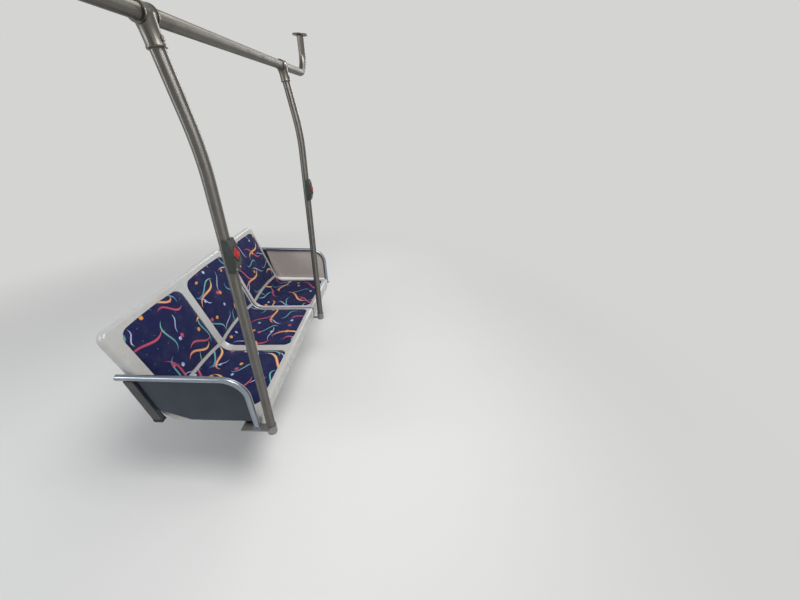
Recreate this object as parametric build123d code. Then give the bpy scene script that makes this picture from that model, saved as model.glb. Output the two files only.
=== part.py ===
from build123d import *
from math import cos, radians, sin, tan
import os

os.makedirs("parts", exist_ok=True)

# A side-facing bench of three places for a city bus. It hangs from the side wall on three arms.
# X runs from the wall to the aisle, Y along the bus and Z up. All sizes are in millimetres.
# The origin is on the wall's face, at the middle of the middle plate's four bolts.
# The near end is at low Y and the far end at high Y.

# Places and shells
pad_width = 384          # width of the pocket that takes one insert
near_land = 62           # shell between the first pocket and the near end
divider_land = 47        # shell between the two pockets of the double shell
seam_land = 20           # shell between a pocket and the seam of the two shells
far_land = 27            # shell between the last pocket and the far end
shell_gap = 6            # between the double and the single shell
shell_wall = 4
pocket_depth = 12
rim_depth = 30           # how far the shell's ends and top turn back
rim_radius = 14          # of the shells' turned edges
top_land = 33            # shell above the middle of a back pocket
top_bow = 8              # how much lower the corners of a back pocket lie than its middle
front_land = 34          # shell in front of a seat pocket
crease_land = 16         # rib between back pocket and seat pocket
rib_along = 53           # from the crease up the back to the middle of the rib
rib_bow = 12             # how much lower the ends of the rib lie
top_corner_radius = 42
back_pocket_radius = 48
seat_pocket_radius = 34

# Side profile
crease_x = 185           # where the lines of the back and the pan would meet
crease_z = 97
pan_length = 390
pan_angle = 2
back_length = 447
back_lean = 17
crease_radius = 65
front_radius = 17
lip_drop = 70
lip_lean = 4

# Inserts
pad_crown = 4            # how far an insert stands out of its pocket
pad_clearance = 1
seat_clearance = 0.3     # between faces that rest on each other

# Wall fixing and arms
arm_inset = 227          # from the bench's ends in to the middle of an outer arm
wall_plate_thickness = 6
wall_plate_width = 96
wall_plate_height = 220
wall_plate_corner = 8
wall_bolt_y = 60
wall_bolt_z = 170
wall_bolt_radius = 5.5
arm_web = 5
arm_flange_width = 40
arm_flange = 5
arm_root_depth = 142
arm_nose_depth = 46
arm_end_back = 22        # how far the arm's nose stays behind the shell's front
arm_hole_radii = (34, 26, 18)
arm_hole_start = 110
arm_hole_gap = 74

# Beams and back support
beam_height = 25
beam_width = 40
beam_wall = 3
beam_end_gap = 8         # inside the shell's end walls
front_beam_back = 62     # from the shell's front to the middle of the beam
rear_beam_along = 70     # from the crease to the middle of the beam
upright_width = 25
upright_depth = 22
upright_top = 400        # along the back from the crease
back_rail_along = 210
back_rail_height = 25
notch_clearance = 2
seam_past = 1            # how far a notch at the seam runs past the shells' end walls

# End frames
end_gap = 8              # between a shell's end and its end frame
rail_tube = 25.4
rail_tube_wall = 2
rail_rise = 242          # from the crease up to the middle of the rail
rail_wall_end = 62
rail_front_back = 15     # from the shells' front edge back to the rail's front leg
rail_bend = 95
rail_foot_radius = 20
rail_foot_thickness = 4
panel_thickness = 2
panel_front_drop = 235   # from the middle of the rail down to the panel's front lower edge
panel_rear_drop = 174
panel_slope_start = 285
post_width = 38
post_depth = 20
post_wall = 2
post_top_x = 84
post_lean = 10
post_drop = 231          # from the middle of the rail down to the post's cut end
post_foot_height = 14
post_foot_edge = 1       # how far the rubber foot stands out round the post
post_foot_corner = 4

# Stanchions and the grab rail
tube = 35
tube_wall = 2
near_stanchion_out = 9   # outside the near end of the bench
foot_ahead = 39          # from the shells' front edge out to a stanchion's foot
foot_drop = 39           # from the beams' underside down to a stanchion's foot
bend_ahead = 23          # from the foot out to the bend
bend_z = 1146
bend_reach = 80          # how far the bend's arc reaches each side of its corner
grab_x = 590
grab_z = 1433
hanger_places = (-1076, 612)
hanger_bend = 90
ceiling_z = 1610
flange_radius = 40
flange_thickness = 5
flange_pcd = 58
flange_bolt_radius = 3.3
flange_bolts = 4

# Fittings
sleeve_wall = 2.5
socket_height = 46
socket_floor = 4
bracket_plate = 6
bracket_corner = 6
lip_clearance = 4
strip_gap = 3            # between the shell's end and the near bracket's strip
bracket_in = 107         # how far in from the shells' ends the bracket plates reach
tee_wall = 3.5
tee_length = 50
tee_bead = 1.5           # how far the casting's end beads stand out
tee_bead_length = 5
tee_sleeve_wall = 3
tee_sleeve_length = 46
tee_flare = 9            # height of the cone between the sleeve and the run
tee_flare_out = 3
tee_boss_radius = 6      # of the boss for the sleeve's set screw
tee_boss_out = 3
tee_boss_down = 48       # from the grab rail's axis
near_box_z = 858         # middle of the stop-request box on the near stanchion
far_box_z = 875
box_back = 3             # from the tube's axis back to the housing's open side
box_corner = 4
box_sections = (         # height up the housing, reach to the aisle, half width
    (0, 21, 20),
    (36, 31, 23),
    (88, 26, 22),
    (108, 20.5, 20),
)
button_width = 37
button_height = 46
button_out = 6
button_top = 0.45        # size of the button's raised middle, as a share of its base

# Places worked out from the sizes above
double_width = near_land + 2 * pad_width + divider_land + seam_land
single_width = seam_land + pad_width + far_land
bench_length = double_width + shell_gap + single_width
near_end = -bench_length / 2
far_end = bench_length / 2
seam_y = near_end + double_width + shell_gap / 2
arm_places = (near_end + arm_inset, 0, far_end - arm_inset)
floor_depth = pocket_depth + shell_wall
crease = Vector(crease_x, 0, crease_z)
back_up = Vector(-sin(radians(back_lean)), 0, cos(radians(back_lean)))
back_out = Vector(cos(radians(back_lean)), 0, sin(radians(back_lean)))
pan_forward = Vector(cos(radians(pan_angle)), 0, sin(radians(pan_angle)))
pan_up = Vector(-sin(radians(pan_angle)), 0, cos(radians(pan_angle)))
lip_down = Vector(-sin(radians(lip_lean)), 0, -cos(radians(lip_lean)))
pan_plane = Plane(origin=crease, x_dir=pan_forward, z_dir=pan_up)
back_plane = Plane(origin=crease, x_dir=back_up, z_dir=back_out)
front_x = (crease + pan_forward * pan_length).X
through = back_length + pan_length   # longer than any piece that a block cuts
past = 2                             # how far a cut runs past the face that it opens
same_place = 0.01                    # points closer than this are one point

front_beam_along = pan_length - front_beam_back
beam_bottom = (crease + pan_forward * (front_beam_along - beam_width / 2)).Z
beam_bottom -= (floor_depth + beam_height) * pan_up.Z
beams = (("front_beam", front_beam_along), ("rear_beam", rear_beam_along))
seam_reach = shell_gap / 2 + shell_wall + seam_past
pocket_top = back_length - top_land
pocket_front = pan_length - front_land

# y at the middle of each pocket
pocket_places = (
    near_end + near_land + pad_width / 2,
    near_end + near_land + pad_width * 1.5 + divider_land,
    far_end - far_land - pad_width / 2,
)


def on_back(along, depth):
    """A point of the side profile, measured up the back from the crease and in behind it."""
    return crease + back_up * along - back_out * depth


def on_pan(along, depth):
    """A point of the side profile, measured forward from the crease and down."""
    return crease + pan_forward * along - pan_up * depth


def corner_at(behind, below):
    """Where a line behind the back meets a line below the pan, at those two depths."""
    turn = radians(back_lean - pan_angle)
    return on_back((behind * sin(turn) - below) / cos(turn), behind)


def on_lip(drop, depth):
    """A point of the front lip, measured down from the front edge and in behind it."""
    across = Vector(cos(radians(lip_lean)), 0, -sin(radians(lip_lean)))
    return on_pan(pan_length, 0) + lip_down * drop - across * depth


def front_corner(depth):
    """Where the lines of the pan and the lip meet when both lie deeper by depth."""
    turn = radians(90 + pan_angle - lip_lean)
    return on_pan(pan_length - depth * tan(turn / 2), depth)


def slab(outline, y_low, y_high):
    """An outline of (point, corner radius) pairs in the XZ plane, drawn out along Y."""
    points = [(p.X, 0, p.Z) for p, radius in outline]
    radii = [radius for p, radius in outline]
    line = FilletPolyline(*points, radius=radii, close=True)
    solid = extrude(make_face(line.edges()), amount=y_high - y_low, dir=(0, 1, 0))
    return Pos(0, y_low, 0) * solid


def tube_along(points, radii, outer, wall):
    """A bent round tube: straight runs joined by arcs, hollow from end to end."""
    path = FilletPolyline(*points, radius=radii)
    start = Plane(origin=path @ 0, z_dir=path % 0)
    whole = sweep(start * Circle(outer / 2), path=path)
    hollow = sweep(start * Circle(outer / 2 - wall), path=path)
    return whole - hollow


def save(solid, node):
    """Writes one node. A node of several separate solids is written as a compound."""
    export_step(solid, "parts/" + node + ".step")


def on_pan_block(along, depth, length, height, y_low, y_high, wall=0):
    """A block that lies parallel to the pan, centred along it, with its top at depth."""
    width = y_high - y_low
    block = Box(length, width, height)
    if wall:
        block -= Box(length - 2 * wall, width + past, height - 2 * wall)
    middle = on_pan(along, depth + height / 2)
    return Pos(middle.X, (y_low + y_high) / 2, middle.Z) * Rot(0, -pan_angle, 0) * block


# The visible face in profile, from the top of the back to the lip's lower edge
def face_line(depth, above, below):
    """Pairs of point and radius, deeper by depth and longer by above and below."""
    return [
        (on_back(back_length + above, depth), 0),
        (corner_at(depth, depth), crease_radius + depth),
        (front_corner(depth), max(front_radius - depth, 0)),
        (on_lip(lip_drop + below, depth), 0),
    ]


def bowed_line(start, end, bow):
    """A straight line, or an arc whose middle stands out by bow along the first axis."""
    if bow:
        middle = ((start[0] + end[0]) / 2 + bow, (start[1] + end[1]) / 2)
        return ThreePointArc(start, middle, end)
    return Line(start, end)


def face_block(plane, y_mid, width, low, high, radius, low_bow=0, high_bow=0):
    """A block through the profile. Its far corners are round, and its two ends may be bowed."""
    side = plane.y_dir.Y * y_mid
    corners = [
        (low - low_bow, side - width / 2),
        (high - high_bow, side - width / 2),
        (high - high_bow, side + width / 2),
        (low - low_bow, side + width / 2),
    ]
    lines = [
        Line(corners[0], corners[1]),
        bowed_line(corners[1], corners[2], high_bow),
        Line(corners[2], corners[3]),
        bowed_line(corners[3], corners[0], low_bow),
    ]
    face = make_face(lines)
    if radius:
        face = fillet(face.vertices().sort_by(Axis.X)[-2:], radius)
    return extrude(plane * face, amount=through, both=True)


def pockets(y_mid, grow, top, bottom):
    """The back part and the pan part of one pocket, between two depths, wider by grow."""
    outline = [
        (on_back(pocket_top + grow, top), 0),
        (corner_at(top, top), crease_radius + top),
        (on_pan(pocket_front + grow, top), 0),
        (on_pan(pocket_front + grow, bottom), 0),
        (corner_at(bottom, bottom), crease_radius + bottom),
        (on_back(pocket_top + grow, bottom), 0),
    ]
    width = pad_width + 2 * grow
    half_rib = crease_land / 2 - grow
    band = slab(outline, y_mid - width / 2, y_mid + width / 2)
    back_part = band & face_block(
        back_plane,
        y_mid,
        width,
        rib_along + half_rib,
        pocket_top + grow,
        back_pocket_radius + grow,
        rib_bow,
        top_bow,
    )
    pan_part = band & face_block(
        pan_plane, y_mid, width, -rib_along, pocket_front + grow, seat_pocket_radius + grow
    )
    pan_part -= face_block(
        back_plane, y_mid, width + past, rib_along - half_rib, through, 0, rib_bow
    )
    return back_part, pan_part


def face_edges(solid, depth, level_point):
    """The edges of a solid that lie on the visible face, at a depth.

    Edges along Y count only through level_point, because the others are smooth seams."""
    line = FilletPolyline(
        *[(p.X, 0, p.Z) for p, radius in face_line(depth, 0, 2 * past)],
        radius=[radius for p, radius in face_line(depth, 0, 0)[1:-1]],
    )
    found = []
    for edge in solid.edges():
        points = [Vector(p.X, 0, p.Z) for p in (edge @ 0, edge @ 0.5, edge @ 1)]
        if (points[0] - points[1]).length + (points[2] - points[1]).length < same_place:
            if (points[1] - level_point).length < same_place:
                found.append(edge)
        elif all(line.distance_to(p) < same_place for p in points):
            found.append(edge)
    return found


def shell(y_low, y_high, places):
    """One moulded shell: a thin skin with rounded, turned edges and a pocket for each insert."""
    width = y_high - y_low
    middle = (y_low + y_high) / 2
    outline = face_line(0, 0, 0) + face_line(rim_depth, 0, 0)[::-1]
    outside = slab(outline, y_low, y_high)
    outside &= face_block(back_plane, middle, width, -through, back_length, top_corner_radius)
    outside = fillet(face_edges(outside, 0, on_back(back_length, 0)), rim_radius)

    outline = face_line(shell_wall, -shell_wall, past)
    outline += face_line(rim_depth + past, -shell_wall, past)[::-1]
    cavity = slab(outline, y_low + shell_wall, y_high - shell_wall)
    cavity &= face_block(
        back_plane,
        middle,
        width - 2 * shell_wall,
        -through,
        back_length - shell_wall,
        top_corner_radius - shell_wall,
    )
    top = on_back(back_length - shell_wall, shell_wall)
    cavity = fillet(face_edges(cavity, shell_wall, top), rim_radius - shell_wall)

    body = outside - cavity
    for place in places:
        for tub in pockets(pocket_places[place], shell_wall, 0.5, floor_depth):
            body += tub
    for place in places:
        for pocket in pockets(pocket_places[place], 0, -past, pocket_depth):
            body -= pocket

    # Notches that let the beams and the back rail through the turned ends
    for node, along in beams:
        body -= on_pan_block(
            along,
            floor_depth,
            beam_width + 2 * notch_clearance,
            beam_height + notch_clearance,
            seam_y - seam_reach,
            seam_y + seam_reach,
        )
    notch = Box(
        upright_depth + notch_clearance,
        2 * seam_reach,
        back_rail_height + 2 * notch_clearance,
    )
    for y_mid in (near_end, seam_y, far_end):
        middle = on_back(back_rail_along, floor_depth + (upright_depth + notch_clearance) / 2)
        body -= Pos(middle.X, y_mid, middle.Z) * Rot(0, -back_lean, 0) * notch
    return body


save(shell(near_end, near_end + double_width, (0, 1)), "shell_double")
save(shell(far_end - single_width, far_end, (2,)), "shell_single")

for number, y_mid in enumerate(pocket_places, start=1):
    back_pad, seat_pad = pockets(
        y_mid, -pad_clearance, -pad_crown, pocket_depth - seat_clearance
    )
    save(back_pad, f"back_pad_{number}")
    save(seat_pad, f"seat_pad_{number}")

# Cross beams under the pans
beam_low = near_end + shell_wall + beam_end_gap
beam_high = far_end - shell_wall - beam_end_gap
for node, along in beams:
    beam = on_pan_block(
        along, floor_depth, beam_width, beam_height, beam_low, beam_high, beam_wall
    )
    save(beam, node)

# Cantilever arms: a tapered web with round holes between two flanges, on a bolted plate
flange_line = floor_depth + beam_height


def arm(y_mid):
    start = on_pan(0, flange_line)
    root = start - pan_forward * ((start.X - wall_plate_thickness) / pan_forward.X)
    nose = on_pan(pan_length - arm_end_back, flange_line)
    root_low = root - Vector(0, 0, arm_root_depth)
    nose_low = nose - Vector(0, 0, arm_nose_depth)
    outline = [(root, 0), (nose, 0), (nose_low, 0), (root_low, 0)]
    whole = slab(outline, y_mid - arm_flange_width / 2, y_mid + arm_flange_width / 2)
    slope = (nose_low - root_low).normalized()
    up = Vector(-slope.Z, 0, slope.X)
    side = [
        (root - pan_up * arm_flange - Vector(past, 0, 0), 0),
        (nose - pan_up * arm_flange + Vector(past, 0, 0), 0),
        (nose_low + up * arm_flange + Vector(past, 0, 0), 0),
        (root_low + up * arm_flange - Vector(past, 0, 0), 0),
    ]
    for out in (-1, 1):
        near, far = sorted((out * arm_web / 2, out * (arm_flange_width / 2 + past)))
        whole -= slab(side, y_mid + near, y_mid + far)
    along = arm_hole_start
    for radius in arm_hole_radii:
        share = along / (nose.X - root.X)
        centre = (root + root_low) / 2 * (1 - share) + (nose + nose_low) / 2 * share
        hole = Cylinder(radius, arm_flange_width, rotation=(90, 0, 0))
        whole -= Pos(centre.X, y_mid, centre.Z) * hole
        along += radius + arm_hole_gap
    return whole


def wall_plate(y_mid):
    plate = Box(wall_plate_thickness, wall_plate_width, wall_plate_height)
    plate = fillet(plate.edges().filter_by(Axis.X), wall_plate_corner)
    for y in (-wall_bolt_y / 2, wall_bolt_y / 2):
        for z in (-wall_bolt_z / 2, wall_bolt_z / 2):
            plate -= Pos(0, y, z) * Cylinder(
                wall_bolt_radius, 2 * wall_plate_thickness, rotation=(0, 90, 0)
            )
    return Pos(wall_plate_thickness / 2, y_mid, 0) * plate


def upright(y_mid):
    """A square tube up behind the back, from the arm's top to near the shell's top."""
    front = floor_depth + seat_clearance
    rear = front + upright_depth
    outline = [
        (on_back(upright_top, front), 0),
        (on_back(upright_top, rear), 0),
        (corner_at(rear, flange_line), 0),
        (corner_at(front, flange_line), 0),
    ]
    bore = [
        (on_back(upright_top + past, front + beam_wall), 0),
        (on_back(upright_top + past, rear - beam_wall), 0),
        (corner_at(rear - beam_wall, flange_line + past), 0),
        (corner_at(front + beam_wall, flange_line + past), 0),
    ]
    half = upright_width / 2
    inner = half - beam_wall
    return slab(outline, y_mid - half, y_mid + half) - slab(bore, y_mid - inner, y_mid + inner)


for number, y_mid in enumerate(arm_places, start=1):
    save(arm(y_mid), f"arm_{number}")
    save(wall_plate(y_mid), f"wall_plate_{number}")
    save(upright(y_mid), f"upright_{number}")

# The back rail runs between the uprights and out to the end posts
stops = [near_end - end_gap]
for y_mid in arm_places:
    stops += [y_mid - upright_width / 2, y_mid + upright_width / 2]
stops += [far_end + end_gap]
rail_pieces = []
for y_low, y_high in zip(stops[::2], stops[1::2]):
    piece = Box(upright_depth, y_high - y_low, back_rail_height)
    piece -= Box(
        upright_depth - 2 * beam_wall, y_high - y_low + past, back_rail_height - 2 * beam_wall
    )
    middle = on_back(back_rail_along, floor_depth + seat_clearance + upright_depth / 2)
    rail_pieces.append(
        Pos(middle.X, (y_low + y_high) / 2, middle.Z) * Rot(0, -back_lean, 0) * piece
    )
save(Compound(children=rail_pieces), "back_rail")

# End frames: a bent tube over a sheet panel, with a post behind
rail_mid_out = end_gap + rail_tube / 2
rail_height = crease_z + rail_rise
rail_front_x = front_x - rail_front_back
post_bottom = rail_height - post_drop


def end_rail(y_mid):
    path = [
        (rail_wall_end, y_mid, rail_height),
        (rail_front_x, y_mid, rail_height),
        (rail_front_x, y_mid, beam_bottom + rail_foot_thickness),
    ]
    bent = tube_along(path, [rail_bend], rail_tube, rail_tube_wall)
    foot_disc = Cylinder(rail_foot_radius, rail_foot_thickness)
    return bent + Pos(rail_front_x, y_mid, beam_bottom + rail_foot_thickness / 2) * foot_disc


def post_x(z):
    """The wall side of the post at a height."""
    return post_top_x + (rail_height - z) * tan(radians(post_lean))


def end_panel(y_mid):
    inner = rail_tube / 2 + seat_clearance
    top = rail_height - inner
    front = rail_front_x - inner
    front_low = rail_height - panel_front_drop
    rear_low = rail_height - panel_rear_drop
    outline = [
        (Vector(post_x(top) + post_width, 0, top), 0),
        (Vector(front, 0, top), rail_bend - inner),
        (Vector(front, 0, front_low), 0),
        (Vector(panel_slope_start, 0, front_low), 0),
        (Vector(post_x(rear_low) + post_width, 0, rear_low), 0),
    ]
    return slab(outline, y_mid - panel_thickness / 2, y_mid + panel_thickness / 2)


def post_block(y_mid, top, low, out, corner=0):
    """A leaning block in line with the post, wider than it by out."""
    outline = [
        (Vector(post_x(top) - out, 0, top), 0),
        (Vector(post_x(top) + post_width + out, 0, top), 0),
        (Vector(post_x(low) + post_width + out, 0, low), corner),
        (Vector(post_x(low) - out, 0, low), corner),
    ]
    reach = post_depth / 2 + out
    return slab(outline, y_mid - reach, y_mid + reach)


def end_post(y_mid):
    """A leaning rectangular tube, cut level at the rail above."""
    top = rail_height - rail_tube / 2 - seat_clearance
    whole = post_block(y_mid, top, post_bottom, 0)
    return whole - post_block(y_mid, top + past, post_bottom - past, -post_wall)


def post_foot(y_mid):
    low = post_bottom - post_foot_height
    return post_block(y_mid, post_bottom, low, post_foot_edge, post_foot_corner)


end_frames = (("near", near_end - rail_mid_out), ("far", far_end + rail_mid_out))
for side, y_mid in end_frames:
    save(end_rail(y_mid), "end_rail_" + side)
    save(end_panel(y_mid), "end_panel_" + side)
    save(end_post(y_mid), "end_post_" + side)
    save(post_foot(y_mid), "post_foot_" + side)

# Stanchions, each bent once towards the wall above the stop-request box
foot = Vector(front_x + foot_ahead, 0, beam_bottom - foot_drop)
bend = Vector(foot.X + bend_ahead, 0, bend_z)
rail_centre = Vector(grab_x, 0, grab_z)
upper = (rail_centre - bend).normalized()
lower = (bend - foot).normalized()
stanchion_top = rail_centre - upper * (tube / 2 + seat_clearance)
stanchions = (
    ("near", near_end - near_stanchion_out, near_box_z),
    ("far", seam_y, far_box_z),
)
bore_radius = tube / 2 + seat_clearance


def stanchion(y_mid):
    points = [(p.X, y_mid, p.Z) for p in (foot, bend, stanchion_top)]
    turn = radians(lower.get_angle(upper))
    return tube_along(points, [bend_reach / tan(turn / 2)], tube, tube_wall)


def rod(start, direction, length, radius, y_mid):
    """A round bar from a point of the XZ plane, moved to y_mid."""
    plane = Plane(origin=(start.X, y_mid, start.Z), z_dir=direction)
    return extrude(plane * Circle(radius), amount=length)


def socket(y_mid):
    """The cup that takes a stanchion's foot."""
    base = foot - lower * socket_floor
    cup = rod(base, lower, socket_height, bore_radius + sleeve_wall, y_mid)
    return cup - rod(foot, lower, socket_height, bore_radius, y_mid)


def tee(y_mid):
    """A beaded casting round the grab rail, flared into a sleeve over the stanchion."""
    run = Cylinder(bore_radius + tee_wall, tee_length)
    bead = Cylinder(bore_radius + tee_wall + tee_bead, tee_bead_length)
    for out in (-1, 1):
        run += Pos(0, 0, out * (tee_length - tee_bead_length) / 2) * bead
    place = Pos(rail_centre.X, y_mid, rail_centre.Z) * Rot(90, 0, 0)
    body = place * run

    sleeve_radius = bore_radius + tee_sleeve_wall
    reach = bore_radius + tee_sleeve_length
    start = rail_centre - upper * reach
    body += rod(start, upper, reach, sleeve_radius, y_mid)
    body += rod(start, upper, tee_bead_length, sleeve_radius + tee_bead, y_mid)
    flare_height = bore_radius + tee_wall + tee_flare
    flare_start = rail_centre - upper * flare_height
    flare = Cone(
        sleeve_radius,
        sleeve_radius + tee_flare_out,
        flare_height,
        align=(Align.CENTER, Align.CENTER, Align.MIN),
    )
    body += Plane(origin=(flare_start.X, y_mid, flare_start.Z), z_dir=upper) * flare

    across = Vector(upper.Z, 0, -upper.X)
    boss_reach = sleeve_radius + tee_boss_out
    body += rod(rail_centre - upper * tee_boss_down, across, boss_reach, tee_boss_radius, y_mid)

    body -= place * Cylinder(bore_radius, tee_length + past)
    # The two bores are equally wide, so the sleeve's ends inside the run's, short of its axis
    bore_length = reach + past - tee_wall
    return body - rod(start - upper * past, upper, bore_length, bore_radius, y_mid)


def on_stanchion(z):
    """The stanchion's centre at a height below its bend."""
    return foot + lower * ((z - foot.Z) / lower.Z)


def box_point(box_z, height, reach):
    """A point of the housing's front, in the stanchion's XZ plane."""
    box_height = box_sections[-1][0]
    return on_stanchion(box_z - box_height / 2) + lower * height + Vector(reach, 0, 0)


def stop_box(y_mid, box_z):
    """A moulded housing that saddles the tube's aisle side, widest below its middle."""
    sections = []
    for height, reach, half in box_sections:
        centre = box_point(box_z, height, 0)
        plane = Plane(origin=(centre.X, y_mid, centre.Z), x_dir=(1, 0, 0), z_dir=(0, 0, 1))
        depth = box_back + reach
        outline = RectangleRounded(depth, 2 * half, box_corner)
        sections.append(plane * Pos(depth / 2 - box_back, 0) * outline)
    body = loft(sections, ruled=True)
    low = box_point(box_z, -tube, 0)
    return body - rod(low, lower, box_sections[-1][0] + 2 * tube, bore_radius, y_mid)


def diamond(share):
    points = [
        (button_width / 2 * share, 0),
        (0, button_height / 2 * share),
        (-button_width / 2 * share, 0),
        (0, -button_height / 2 * share),
    ]
    return make_face(Polyline(*points, close=True).edges())


def stop_button(y_mid, box_z):
    """A four-sided push button with a raised middle, standing on the housing's long facet."""
    low, high = [box_point(box_z, height, reach) for height, reach, half in box_sections[1:3]]
    facet = (high - low).normalized()
    out = Vector(facet.Z, 0, -facet.X)
    centre = (low + high) / 2 + out * seat_clearance
    plane = Plane(origin=(centre.X, y_mid, centre.Z), x_dir=(0, 1, 0), z_dir=out)
    return loft([plane * diamond(1), plane.offset(button_out) * diamond(button_top)], ruled=True)


for side, y_mid, box_z in stanchions:
    save(stanchion(y_mid), "stanchion_" + side)
    save(tee(y_mid), "tee_" + side)
    save(stop_box(y_mid, box_z), "stop_box_" + side)
    save(stop_button(y_mid, box_z), "stop_button_" + side)

# The brackets that carry the stanchions' sockets from the front beam
beam_x = on_pan(front_beam_along, floor_depth + beam_height).X


def flat_plate(x_low, x_high, y_low, y_high):
    plate = Box(x_high - x_low, y_high - y_low, bracket_plate)
    return Pos(
        (x_low + x_high) / 2, (y_low + y_high) / 2, beam_bottom - bracket_plate / 2
    ) * plate


def near_bracket():
    """A plate under the beam, with a strip ahead that the stanchion's socket passes through."""
    y_mid = stanchions[0][1]
    y_out = near_end - rail_mid_out - rail_foot_radius
    y_in = near_end + bracket_in
    plate = flat_plate(beam_x - beam_width / 2, beam_x + beam_width / 2, y_out, y_in)
    plate += flat_plate(beam_x, foot.X, y_out, near_end - strip_gap)
    return plate - rod(foot, lower, 2 * socket_height, bore_radius, y_mid) + socket(y_mid)


def far_bracket():
    """An upright web from the beam, under the lip and out to the stanchion's socket."""
    y_mid = stanchions[1][1]
    reach = tube / 2 + sleeve_wall / 2
    drop = on_lip(lip_drop, 0).Z - lip_clearance
    low = foot.Z - socket_floor
    outline = [
        (Vector(beam_x - beam_width / 2, 0, beam_bottom), 0),
        (Vector(beam_x + beam_width / 2, 0, beam_bottom), 0),
        (Vector(beam_x + beam_width / 2, 0, drop), 0),
        (Vector(foot.X - reach, 0, drop), 0),
        (Vector(foot.X - reach, 0, low), 0),
        (Vector(beam_x, 0, low), bracket_corner),
    ]
    return slab(outline, y_mid - bracket_plate / 2, y_mid + bracket_plate / 2) + socket(y_mid)


def far_end_bracket():
    """The plate under the beam that the far end frame's foot stands on."""
    y_out = far_end + rail_mid_out + rail_foot_radius
    y_in = far_end - bracket_in
    return flat_plate(beam_x - beam_width / 2, beam_x + beam_width / 2, y_in, y_out)


save(near_bracket(), "foot_bracket_near")
save(far_bracket(), "foot_bracket_far")
save(far_end_bracket(), "rail_bracket_far")

# The grab rail turns up to the ceiling at both ends
flange_low = ceiling_z - flange_thickness
grab_path = [
    (grab_x, hanger_places[0], flange_low),
    (grab_x, hanger_places[0], grab_z),
    (grab_x, hanger_places[1], grab_z),
    (grab_x, hanger_places[1], flange_low),
]
save(tube_along(grab_path, [hanger_bend, hanger_bend], tube, tube_wall), "grab_rail")


def ceiling_flange(y_mid):
    disc = Cylinder(flange_radius, flange_thickness)
    for hole in PolarLocations(flange_pcd / 2, flange_bolts, start_angle=45):
        disc -= hole * Cylinder(flange_bolt_radius, 2 * flange_thickness)
    return Pos(grab_x, y_mid, ceiling_z - flange_thickness / 2) * disc


for side, y_mid in zip(("near", "far"), hanger_places):
    save(ceiling_flange(y_mid), "ceiling_flange_" + side)
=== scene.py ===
import math
import bpy
from mathutils import Matrix, Vector, noise


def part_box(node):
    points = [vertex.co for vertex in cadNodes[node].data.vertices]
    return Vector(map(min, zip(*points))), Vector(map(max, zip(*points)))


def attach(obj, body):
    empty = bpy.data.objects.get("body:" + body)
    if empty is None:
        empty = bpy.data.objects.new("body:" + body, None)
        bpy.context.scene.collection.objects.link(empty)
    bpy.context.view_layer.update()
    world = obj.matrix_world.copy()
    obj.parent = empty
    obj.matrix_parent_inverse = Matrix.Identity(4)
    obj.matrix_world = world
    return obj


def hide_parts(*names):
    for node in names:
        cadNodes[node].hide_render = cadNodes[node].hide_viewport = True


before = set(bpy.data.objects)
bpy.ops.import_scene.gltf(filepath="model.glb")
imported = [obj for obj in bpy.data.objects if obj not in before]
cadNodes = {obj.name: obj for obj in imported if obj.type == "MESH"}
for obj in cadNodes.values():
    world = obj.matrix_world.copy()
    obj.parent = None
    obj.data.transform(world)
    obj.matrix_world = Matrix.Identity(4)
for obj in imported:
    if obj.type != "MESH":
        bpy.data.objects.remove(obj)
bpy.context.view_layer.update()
print("bench frame loaded,", len(cadNodes), "nodes")


def newObject(name, data):
    item = bpy.data.objects.new(name, data)
    bpy.context.scene.collection.objects.link(item)
    return item


def newForm(name, points, faces):
    mesh = bpy.data.meshes.new(name)
    mesh.from_pydata(points, [], faces)
    return newObject(name, mesh)


# Short forms for shader nodes
def put(tree, kind, values=None, **settings):
    node = tree.nodes.new("ShaderNode" + kind)
    for key, value in settings.items():
        setattr(node, key, value)
    for key, value in (values or {}).items():
        socket = node.inputs[key]
        if isinstance(value, bpy.types.NodeSocket):
            tree.links.new(value, socket)
        elif socket.type == "RGBA" and len(value) == 3:
            socket.default_value = (*value, 1)
        else:
            socket.default_value = value
    return node


def newMaterial(name, **constants):
    material = bpy.data.materials.new(name)
    material.use_nodes = True
    tree = material.node_tree
    shader = tree.nodes["Principled BSDF"]
    for key, value in constants.items():
        shader.inputs[key.replace("_", " ")].default_value = value
    return material, tree, shader


def feed(tree, shader, **sockets):
    for key, value in sockets.items():
        tree.links.new(value, shader.inputs[key.replace("_", " ")])


def calc(tree, operation, first, second=0.0, third=0.0):
    values = {0: first, 1: second, 2: third}
    return put(tree, "Math", values, operation=operation).outputs[0]


def times(tree, first, second):
    return calc(tree, "MULTIPLY", first, second)


def vectorCalc(tree, operation, first, second=(0, 0, 0)):
    return put(tree, "VectorMath", {0: first, 1: second}, operation=operation).outputs[0]


def mixed(tree, share, first, second):
    return put(tree, "Mix", {0: share, 6: first, 7: second}, data_type="RGBA").outputs[2]


def ramp(tree, value, low, high, start=0.0, end=1.0):
    # Smoothly from start to end while the value goes from low to high
    values = {0: value, 1: low, 2: high, 3: start, 4: end}
    return put(tree, "MapRange", values, interpolation_type="SMOOTHSTEP").outputs[0]


def spotOf(tree, stretch=(1, 1, 1), turn=(0, 0, 0)):
    spot = put(tree, "TexCoord").outputs["Object"]
    rotated = put(tree, "Mapping", {"Vector": spot, "Rotation": turn}).outputs[0]
    return vectorCalc(tree, "MULTIPLY", rotated, stretch)


def cloud(tree, spot, scale, detail=2.0, rough=0.5):
    values = {"Vector": spot, "Scale": scale, "Detail": detail, "Roughness": rough}
    return put(tree, "TexNoise", values).outputs[0]


def patches(tree, spot, scale, detail, rough, low, high, start=0.0, end=1.0):
    return ramp(tree, cloud(tree, spot, scale, detail, rough), low, high, start, end)


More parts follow.
